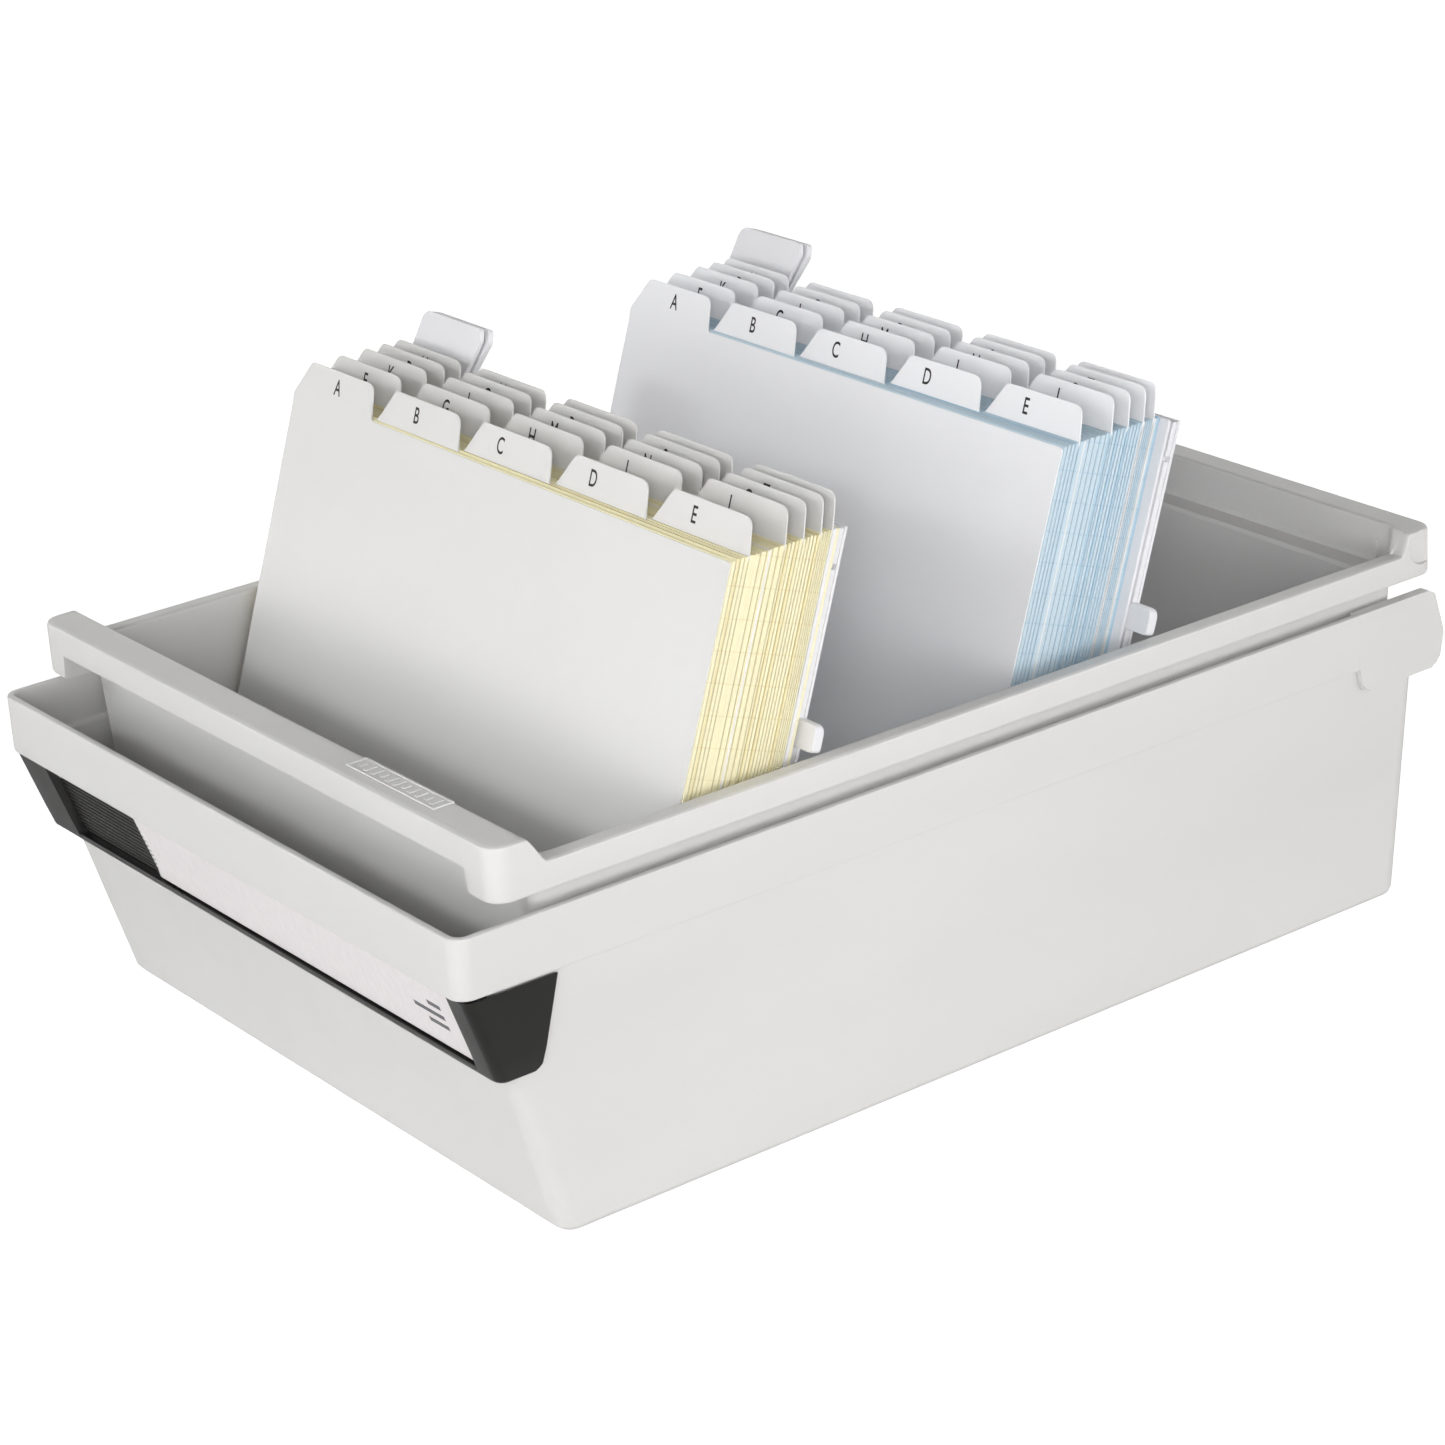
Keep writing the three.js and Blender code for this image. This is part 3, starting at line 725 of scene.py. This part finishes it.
def make_badge():
    """A raised plaque on the handle: a border round a sunk field with plain upright bars."""
    bm = bmesh.new()
    width, depth = BADGE_SIZE
    low, high = HANDLE_TOP - 0.6, HANDLE_TOP + BADGE_RISE
    left, right = BADGE_X - width / 2, BADGE_X + width / 2
    block(bm, (left, BADGE_Y - depth / 2, low), (right, BADGE_Y + depth / 2, high))
    bm.faces.ensure_lookup_table()
    top = max(bm.faces, key=lambda face: face.calc_center_median().z)
    bmesh.ops.inset_region(bm, faces=[top], thickness=0.55, use_even_offset=True)
    bmesh.ops.inset_region(bm, faces=[top], thickness=0.12, depth=-0.3, use_even_offset=True)
    for i, x in enumerate(even(left + 3.4, right - 3.4, BADGE_BARS - 1)):
        reach = 1.9 if i % 3 else 1.2
        block(bm, (x - 0.7, BADGE_Y - reach, low), (x + 0.7, BADGE_Y + reach, high - 0.02))
    bevel(finish_mesh("handle_badge", mesh_of("badge", bm), "tray", [BOX_PLASTIC]), 0.1, 2)


# ------------------------------------------------------------------------------------ label holder

HOLDER_TOP, HOLDER_BOTTOM = HOLDER_HIGH.z, HOLDER_LOW.z
FACE_TOP, FACE_BOTTOM = HOLDER_LOW.y, HOLDER_LOW.y + 8.6
WING_TOP, WING_BOTTOM = HOLDER_HIGH.y, HOLDER_HIGH.y - 6.5
HOLDER_HEIGHT = HOLDER_TOP - HOLDER_BOTTOM
WINDOW = (-97.5, 106.2)  # the left and right end of the label's window
WINDOW_DEPTH = 2.4
HOLDER_BORDER = 1.9  # width of the frame below the window
HOLDER_EDGE = 0.35
HOLDER_HALF = (HOLDER_HIGH.x - 0.6, HOLDER_HIGH.x)  # at its bottom and top
HOLDER_CORNER = 3
HOLDER_RIBS = 14
WING_ROUND = 2.4  # radius of the wings' lower rear corners
CREASE_RISE, WING_CREASE = 6.4, 0.55  # the wings' lower strip slopes in by this much, from this rise


def holder_column(kind, t, in_window):
    """A section of the holder at t along its left wing, left corner, front, right corner or right wing."""

    def outer(rise, depth=0.0):
        f = rise / HOLDER_HEIGHT
        half = HOLDER_HALF[0] + (HOLDER_HALF[1] - HOLDER_HALF[0]) * f
        half -= WING_CREASE * max(0, 1 - rise / CREASE_RISE)
        front = FACE_BOTTOM + (FACE_TOP - FACE_BOTTOM) * f
        end = WING_BOTTOM + (WING_TOP - WING_BOTTOM) * f
        end -= WING_ROUND * max(0, 1 - rise / WING_ROUND) ** 2
        z = HOLDER_BOTTOM + rise
        if kind == "front":
            return Vector((t * (half - HOLDER_CORNER), front + depth, z))
        side = -1 if kind in ("left", "left_corner") else 1
        if kind in ("left", "right"):
            y = front + HOLDER_CORNER + t * (end - front - HOLDER_CORNER)
            return Vector((side * (half - depth), y, z))
        angle = math.radians(-90 + 90 * t)
        reach = HOLDER_CORNER - depth
        x = half - HOLDER_CORNER + reach * math.cos(angle)
        return Vector((side * x, front + HOLDER_CORNER + reach * math.sin(angle), z))

    def inner(rise):
        ring = shell_ring(HOLDER_BOTTOM + rise).inset(-0.35)
        x, y, z = outer(rise)
        if kind == "front":
            return Vector((x, ring.front, z))
        side = math.copysign(1, x)
        if kind in ("left", "right"):
            return Vector((side * ring.half, y, z))
        return Vector((side * (ring.half - 2 * (1 - t)), ring.front + 2 * t, z))

    deep, lip = (WINDOW_DEPTH, HOLDER_EDGE) if in_window else (0.0, 0.0)
    top = HOLDER_HEIGHT - 0.5
    rises = [
        (HOLDER_EDGE, 0.0),
        (HOLDER_EDGE + 0.6, 0.0),
        (HOLDER_BORDER - HOLDER_EDGE, 0.0),
        (HOLDER_BORDER, lip),
        (HOLDER_BORDER + 0.1, deep),
        (CREASE_RISE, deep),
        (top - 0.1, deep),
        (top, lip),
        (top + 0.1, 0.0),
        (HOLDER_HEIGHT - 0.1, 0.0),
    ]
    column = [inner(HOLDER_EDGE), outer(0, HOLDER_EDGE)]
    column += [outer(rise, depth) for rise, depth in rises]
    column += [outer(HOLDER_HEIGHT, 0.1), inner(HOLDER_HEIGHT - HOLDER_EDGE)]
    return [tuple(point) for point in column]


def make_holder():
    flat = HOLDER_HALF[0] - HOLDER_CORNER
    left, right = WINDOW[0] / flat, WINDOW[1] / flat
    slant = 0.005
    fronts = [(-1, False), (left - slant, False), (left, True)]
    fronts += [(t, True) for t in even(left + 0.02, right - 0.02, 8)]
    fronts += [(right, True), (right + slant, False), (1, False)]
    columns = [holder_column("left", t, False) for t in even(1, 0, 6)]
    columns += [holder_column("left_corner", t, False) for t in (0.75, 0.5, 0.25)]
    columns += [holder_column("front", t, inside) for t, inside in fronts]
    columns += [holder_column("right_corner", t, False) for t in (0.25, 0.5, 0.75)]
    columns += [holder_column("right", t, False) for t in even(0, 1, 6)]
    bm = bmesh.new()
    skin(bm, columns, closed=False)
    mesh = mesh_of("holder", bm)
    holder = finish_mesh("label_holder_frame", mesh, "lid", [HOLDER_PLASTIC])
    flat_shading(holder)
    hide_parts("label_holder")
    make_holder_ribs()


FACE_TILT = math.atan2(FACE_BOTTOM - FACE_TOP, HOLDER_HEIGHT)


def face_place():
    """The frame of the holder's face: x across, y into it, z up it, from its lower edge."""
    corner = Vector((0, FACE_BOTTOM, HOLDER_BOTTOM))
    return Matrix.Translation(corner * MM) @ Matrix.Rotation(FACE_TILT, 4, "X")


def make_holder_ribs():
    """Fine ribs across the bare left part of the window."""
    bm = bmesh.new()
    left, right = WINDOW[0] + 1, LABEL_LOW.x + 6
    for z in even(3.2, 24.2, HOLDER_RIBS - 1):
        block(bm, (left, WINDOW_DEPTH - 0.45, z - 0.36), (right, WINDOW_DEPTH + 0.2, z + 0.36))
    mesh = mesh_of("ribs", bm)
    bevel(finish_mesh("holder_ribs", mesh, "lid", [HOLDER_PLASTIC], face_place()), 0.2, 2)


LABEL_SHEET = 0.34
LABEL_ENDS = ((0, 0.05, 0), (0.9, 2.9, 0.5), (1.6, 4.3, 1.0))  # left ends: at the top, nick and bottom
PRINT_WIDTHS = (9, 14, 6)


def make_label():
    """The label strip: three thin sheets one over the other, the front ones with pointed left ends."""
    bm = bmesh.new()
    bottom, top = 2.4, HOLDER_HEIGHT / math.cos(FACE_TILT) - 1.1
    nick = bottom + (top - bottom) * 0.3
    left, right = LABEL_LOW.x, LABEL_HIGH.x
    back = WINDOW_DEPTH - 0.15
    for high, middle, low in LABEL_ENDS:
        front = back - LABEL_SHEET + 0.06
        points = [(left + high, top), (left + middle, nick), (left + low, bottom)]
        points += [(right, bottom), (right, top)]
        extrude(bm, rounded(points, [0.5, 0.6, 0.5, 0.3, 0.3], 3), "y", front, back)
        back -= LABEL_SHEET
    mesh = mesh_of("label", bm)
    label = finish_mesh("label_strip", mesh, "label", [LABEL_PAPER], face_place())
    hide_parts("label_card")
    bm = bmesh.new()
    right -= 8
    for i, width in enumerate(PRINT_WIDTHS):
        z = 9.5 + 3.4 * i
        block(bm, (right - width, front - 0.03, z), (right, front + 0.05, z + 1.5))
    finish_mesh("label_print", mesh_of("print", bm), "label", [PRINT], face_place())


# ------------------------------------------------------------------------------------ packs

LEAN = math.radians(19)
SHEET = 0.4  # thickness of a guide card
CARD_HEIGHT = 151.0
SHOULDER, TAB_TOP = 150.5, 160.5
TABS = 5
GUIDE_HALF = 105
TAB_SHARE = 41.4 / 42  # of the pitch that a tab takes up
LETTER_X = (-83, -44, -4.4, 37.2, 80.1)
EDGE_RECESS = 0.5  # of a guide card behind the record cards at its sides
LETTERS = [*"abcdefghijklmnopqrstuvw", "xy", "z"]
ROWS = [LETTERS[i:i + TABS] for i in range(0, len(LETTERS), TABS)]
LETTER_HEIGHT = 4.6
CAPITAL_SHARE = 0.7  # height of a capital in the font's own size
LETTER_SQUEEZE = 0.74
CARD_THICKNESS = 0.42
SHADES = (0.5, 0.85, 0.9, 0.94, 0.96, 0.98, 1.0, 1.0, 1.0, 1.0, 1.0)  # how light a record card is
CARD_SLACK = 0.07  # of a record card's end inside the guides' width
CARD_GAPS = (0.002, 0.004, 0.006, 0.02)
WHITES, LAST_WHITES = 0.03, 0.6  # share of white record cards, and behind the last guide
rng = random.Random(7)


def pack_place(pack):
    """The leaning frame of a pack: x across, y from its front to its back, z up the cards."""
    low, _ = corners(f"guide_{pack}_a")
    base = Vector((0, low.y, low.z + SHEET * math.sin(LEAN)))
    return Matrix.Translation(base * MM) @ Matrix.Rotation(-LEAN, 4, "X"), base


def depth_of(pack, base, node):
    """How far a node lies behind the pack's front, at right angles to the cards."""
    low, _ = corners(node)
    return (low.y - base.y) * math.cos(LEAN)


def rise_at(depth):
    """How far up its own slope a sheet stands, so that all sheets stand on one level."""
    return depth * math.tan(LEAN)


def tab_span(half, position):
    """The left and right end of the tab at a position, on a guide of that half width."""
    pitch = 2 * half / TABS
    left = -half + position * pitch
    return left, half if position == TABS - 1 else left + pitch * TAB_SHARE


def guide_outline(half, position):
    """A guide card with its tab, seen from the front. The outer tabs run on into the card's sides."""
    left, right = tab_span(half, position)
    body = half - EDGE_RECESS
    first, last = position == 0, position == TABS - 1
    points, radii = [(-body, 0), (body, 0)], [1.5, 1.5]
    if last:
        points += [(body, SHOULDER - 1.5), (right, SHOULDER)]
        radii += [1, 2]
    else:
        points += [(body, SHOULDER), (right, SHOULDER)]
        radii += [1.2, 1.4]
    points += [(right - 2.0, TAB_TOP), (left + 7, TAB_TOP)]
    radii += [3.6, 2.8]
    if first:
        points += [(left, SHOULDER - 0.5), (-body, SHOULDER - 3)]
        radii += [3, 1]
    else:
        points += [(left + 0.4, SHOULDER), (-body, SHOULDER)]
        radii += [3.2, 1.2]
    return rounded(points, radii)


def letter_mesh(text, x, z, y):
    """A printed index letter as flat faces just in front of y."""
    curve = bpy.data.curves.new("letter", "FONT")
    curve.body = text
    curve.size = 1
    curve.align_x = "CENTER"
    curve.offset = 0.012
    curve.resolution_u = 6
    holder = bpy.data.objects.new("letter", curve)
    bpy.context.scene.collection.objects.link(holder)
    mesh = bpy.data.meshes.new_from_object(holder)
    bpy.data.objects.remove(holder)
    size = LETTER_HEIGHT / CAPITAL_SHARE
    turn = Matrix.Translation((x, y, z)) @ Matrix.Rotation(math.pi / 2, 4, "X")
    mesh.transform(turn @ Matrix.Diagonal((size * LETTER_SQUEEZE, size, 1, 1)))
    return mesh


def make_guide(pack, place, base, letter):
    """One guide card with its printed letter. It gives its depth in the pack and its half width."""
    node = f"guide_{pack}_{letter}"
    index = LETTERS.index(letter)
    position, row = index % TABS, ROWS[index // TABS]
    _, high = corners(node)
    depth = depth_of(pack, base, node)
    rise = rise_at(depth)
    bm = bmesh.new()
    extrude(bm, [(x, z + rise) for x, z in guide_outline(high.x, position)], "y", depth, depth + SHEET)
    bmesh.ops.recalc_face_normals(bm, faces=bm.faces)
    centre = LETTER_X[position] * high.x / GUIDE_HALF
    ink = letter_mesh(letter.upper(), centre, rise + SHOULDER + 3.2, depth - 0.02)
    start = len(bm.faces)
    bm.from_mesh(ink)
    bm.faces.ensure_lookup_table()
    for face in bm.faces[start:]:
        face.material_index = 1
    mesh = bpy.data.meshes.new(node)
    bm.to_mesh(mesh)
    bm.free()
    body = f"{pack}_{row[0]}_to_{row[-1]}"
    name = f"index_card_{pack}_{letter}"
    piece = finish_mesh(name, mesh, body, [GUIDES[pack], INK], place)
    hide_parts(node)
    return depth, high.x


def add_card(bm, tint, half, depth, thickness, white):
    """One loose record card, a little out of line with its neighbours."""
    slack = rng.uniform(-0.04, 0.04)
    top = CARD_HEIGHT + rng.uniform(-0.25, 0.15)
    rise = rise_at(depth)
    low = (-half + CARD_SLACK + slack, depth, rise + 0.05)
    high = (half - CARD_SLACK + slack, depth + thickness, rise + top)
    verts = block(bm, low, high)
    shade = rng.choice(SHADES)
    for face in {face for vert in verts for face in vert.link_faces}:
        face.material_index = 1 if white else 0
        for loop in face.loops:
            loop[tint] = (shade, shade, shade, 1)


def make_cards(pack, place, row, spaces, half):
    """The record cards between the guides of one row."""
    bm = bmesh.new()
    tint = bm.loops.layers.float_color.new("tint")
    for start, end in spaces:
        whites = LAST_WHITES if (start, end) == spaces[-1] and row == ROWS[-1] else WHITES
        depth = start + 0.04
        while depth + 0.12 < end:
            thickness = min(CARD_THICKNESS * rng.uniform(0.8, 1.5), end - depth - 0.03)
            add_card(bm, tint, half, depth, thickness, rng.random() < whites)
            depth += thickness + rng.choice(CARD_GAPS)
    body = f"{pack}_{row[0]}_to_{row[-1]}"
    mesh = mesh_of("cards", bm)
    piece = finish_mesh(f"cards_{body}", mesh, body, [CARDS[pack], WHITE_CARD], place)
    if row == ROWS[0]:
        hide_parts(f"record_cards_{pack}_1")
    if row == ROWS[-1]:
        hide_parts(f"record_cards_{pack}_2")


def make_pack(pack):
    place, base = pack_place(pack)
    starts, half = [], 0
    for letter in LETTERS:
        depth, half = make_guide(pack, place, base, letter)
        starts.append(depth)
    plate = depth_of(pack, base, f"support_plate_{pack}")
    starts.append(plate - PLATE_BOTTOM * math.sin(LEAN) * math.cos(LEAN))
    gaps = [(a + SHEET, b) for a, b in zip(starts, starts[1:])]
    for i, row in enumerate(ROWS):
        make_cards(pack, place, row, gaps[i * TABS:(i + 1) * TABS], half)
    make_plate(pack, place, starts[-1])


# ------------------------------------------------------------------------------------ support plates

PLATE_BOTTOM, PLATE_TOP = 2, 151
PLATE_HALF = 103
PLATE_FRONT_SHEET = 1.0
PLATE_BACK_FRONT, PLATE_BACK = 3.45, 4.4  # how far behind the plate's front its back sheet lies
PLATE_CORE = 3.5
NOTCH = 11  # how far below its top the rib in its edge has a gap
PLATE_TAB = (-100, -64, 169)  # left, right and upper edge of its tab
TAB_LAYERS = (("front", 0.0, 1.5, -1.2), ("back", 2.1, 4.0, 0.0))  # depths, and by how much each is wider
WING = (92.1, 99.6, 8.9)  # lower and upper edge and reach of the wings that lie on the tray's rails


def make_plate(pack, place, depth):
    """A hollow-backed plate with a grooved edge, a two-layered tab and a wing at each side."""
    rise = rise_at(depth)
    top = PLATE_TOP + rise
    bottom = PLATE_BOTTOM + rise

    def outline(inset):
        half = PLATE_HALF - inset
        low, high = bottom + inset, top - inset / 3
        return rounded([(-half, low), (half, low), (half, high), (-half, high)], [1.0] * 4, 3)

    bm = bmesh.new()
    extrude(bm, outline(0.2), "y", depth, depth + PLATE_FRONT_SHEET)
    extrude(bm, outline(1.6), "y", depth + PLATE_FRONT_SHEET - 0.1, depth + PLATE_CORE)
    rib = PLATE_HALF - 0.3
    gap = top - NOTCH
    for low, high in ((bottom + 0.3, gap - 0.7), (gap + 0.7, top - 0.6)):
        block(bm, (-rib, depth + 1.9, low), (rib, depth + PLATE_CORE, high))
    for side in (-1, 1):
        low, high, reach = WING
        low, high = low + rise, high + rise
        outer, inner = side * (PLATE_HALF + reach - 1), side * (PLATE_HALF - 2)
        points = [(inner, low), (outer, low), (outer, high), (inner, high)]
        radii = [0, 1.6, 2.6, 0]
        if side < 0:
            points, radii = points[::-1], radii[::-1]
        extrude(bm, rounded(points, radii), "y", depth + 1.3, depth + PLATE_BACK - 0.05)
    body = f"{pack}_plate"
    mesh = mesh_of("front", bm)
    front = finish_mesh(f"plate_front_{pack}", mesh, body, [PLATE_PLASTIC], place)
    bevel(front, 0.3, 3)
    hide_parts(f"support_plate_{pack}")

    bm = bmesh.new()
    block(bm, (-PLATE_HALF, depth + PLATE_BACK_FRONT, bottom), (PLATE_HALF, depth + PLATE_BACK, top))
    back = max(bm.faces, key=lambda face: face.calc_center_median().y)
    bmesh.ops.inset_region(bm, faces=[back], thickness=8, use_even_offset=True)
    bmesh.ops.inset_region(bm, faces=[back], thickness=0.8, depth=-0.7, use_even_offset=True)
    mesh = mesh_of("back", bm)
    bevel(finish_mesh(f"plate_back_{pack}", mesh, body, [PLATE_PLASTIC], place), 0.25, 2)
    make_plate_tab(pack, place, depth, rise)


def make_plate_tab(pack, place, depth, rise):
    left, tab_right, tab_top = PLATE_TAB
    neck = tab_right - 6.5
    for name, y0, y1, wider in TAB_LAYERS:
        right = tab_right + wider
        points = [
            (left, PLATE_TOP - 4),
            (neck, PLATE_TOP - 4),
            (neck, PLATE_TOP + 1),
            (right, tab_top - 4),
            (right - 1.0, tab_top - 0.3),
            (left + 4.6, tab_top - 0.3),
            (left, PLATE_TOP),
        ]
        outline = rounded([(x, z + rise) for x, z in points], [0, 0, 3, 3, 1.6, 4.5, 3])
        bm = bmesh.new()
        extrude(bm, outline, "y", depth + y0, depth + y1)
        mesh = mesh_of("tab", bm)
        tab, body = f"plate_tab_{name}_{pack}", f"{pack}_plate"
        bevel(finish_mesh(tab, mesh, body, [PLATE_PLASTIC], place), 0.25, 2)


# ------------------------------------------------------------------------------------ stage and light


FLOOR_SIZE = 4000
FLOOR_DROP = 0.2  # of the floor below the box
FLOOR_GLOW = 0.7  # seen only by the camera, so that the floor looks evenly white
SKY_TOP = 0.03
SKY_LOW = 1.88
SKY_TOP_FROM = 0.8  # sine of the height from which the sky is at its darkest


def make_floor():
    bm = bmesh.new()
    bmesh.ops.create_grid(bm, x_segments=1, y_segments=1, size=FLOOR_SIZE)
    bmesh.ops.translate(bm, vec=(0, 0, -FLOOR_DROP), verts=bm.verts)
    mesh = mesh_of("floor", bm)
    mesh.transform(Matrix.Scale(MM, 4))
    nodes = Nodes("floor_white")
    grain = nodes.noise(3, detail=2)
    colour = nodes.mix(nodes.spread(grain, 0, 1), (0.86, 0.86, 0.86), (0.88, 0.88, 0.88))
    nodes.link(colour, nodes.shader.inputs["Base Color"])
    nodes.shader.inputs["Roughness"].default_value = 0.9
    nodes.shader.inputs["Specular IOR Level"].default_value = 0.1
    nodes.shader.inputs["Emission Color"].default_value = (1, 1, 1, 1)
    seen = nodes.add("ShaderNodeMath", operation="MULTIPLY")
    nodes.link(nodes.add("ShaderNodeLightPath").outputs["Is Camera Ray"], seen.inputs[0])
    seen.inputs[1].default_value = FLOOR_GLOW
    nodes.link(seen.outputs[0], nodes.shader.inputs["Emission Strength"])
    mesh.materials.append(nodes.material)
    floor = bpy.data.objects.new("floor", mesh)
    bpy.context.scene.collection.objects.link(floor)


def make_world():
    """A sky that is bright at its foot and dark overhead."""
    world = bpy.data.worlds.new("studio")
    world.use_nodes = True
    tree = world.node_tree
    background = tree.nodes["Background"]
    where = tree.nodes.new("ShaderNodeTexCoord")
    split = tree.nodes.new("ShaderNodeSeparateXYZ")
    ramp = tree.nodes.new("ShaderNodeMapRange")
    tree.links.new(where.outputs["Generated"], split.inputs["Vector"])
    tree.links.new(split.outputs["Z"], ramp.inputs["Value"])
    ramp.inputs["From Min"].default_value = 0
    ramp.inputs["From Max"].default_value = SKY_TOP_FROM
    ramp.inputs["To Min"].default_value = SKY_LOW
    ramp.inputs["To Max"].default_value = SKY_TOP
    tree.links.new(ramp.outputs["Result"], background.inputs["Strength"])
    background.inputs["Color"].default_value = (1, 0.995, 0.99, 1)
    bpy.context.scene.world = world


def softbox(name, place, size, power, target=(0, 0, 0.08), spread=180):
    """A rectangular light aimed at a target; a small spread, in degrees, makes it a beam."""
    light = bpy.data.objects.new(name, bpy.data.lights.new(name, "AREA"))
    light.data.shape = "RECTANGLE"
    light.data.size, light.data.size_y = size
    light.data.energy = power
    light.data.spread = math.radians(spread)
    light.location = place
    light.rotation_euler = (Vector(target) - Vector(place)).to_track_quat("-Z", "Y").to_euler()
    bpy.context.scene.collection.objects.link(light)


# name, place and size in metres, power in watts, then where a beam is aimed and its spread in degrees
SOFTBOXES = (
    ("side_light", (2.0, 0.2, 0.7), (1.6, 1.2), 2.8),
    ("rear_light", (1.6, 1.6, 0.9), (1.4, 1.0), 5.0),
    ("front_light", (0.3, -2.2, 0.9), (1.6, 1.0), 2.0),
    ("low_light", (1.75, -1.15, 0.3), (1.2, 0.5), 9.4),
    ("pack_light", (0.8, -0.62, 0.52), (0.35, 0.2), 0.09, (-0.01, 0.02, 0.11), 30),
    ("gap_light", (-0.15, -1.25, 0.75), (0.5, 0.2), 0.1, (0, -0.14, 0.085), 16),
)


def make_lights():
    make_world()
    for box in SOFTBOXES:
        softbox(*box)
    scene = bpy.context.scene
    scene.view_settings.view_transform = "Standard"
    scene.view_settings.look = "None"
    scene.view_settings.exposure = 0
    scene.view_settings.gamma = 1


# ------------------------------------------------------------------------------------ assembly

make_lid()
make_tray()
make_holder()
make_label()
make_pack("front")
make_pack("rear")
make_floor()
make_lights()
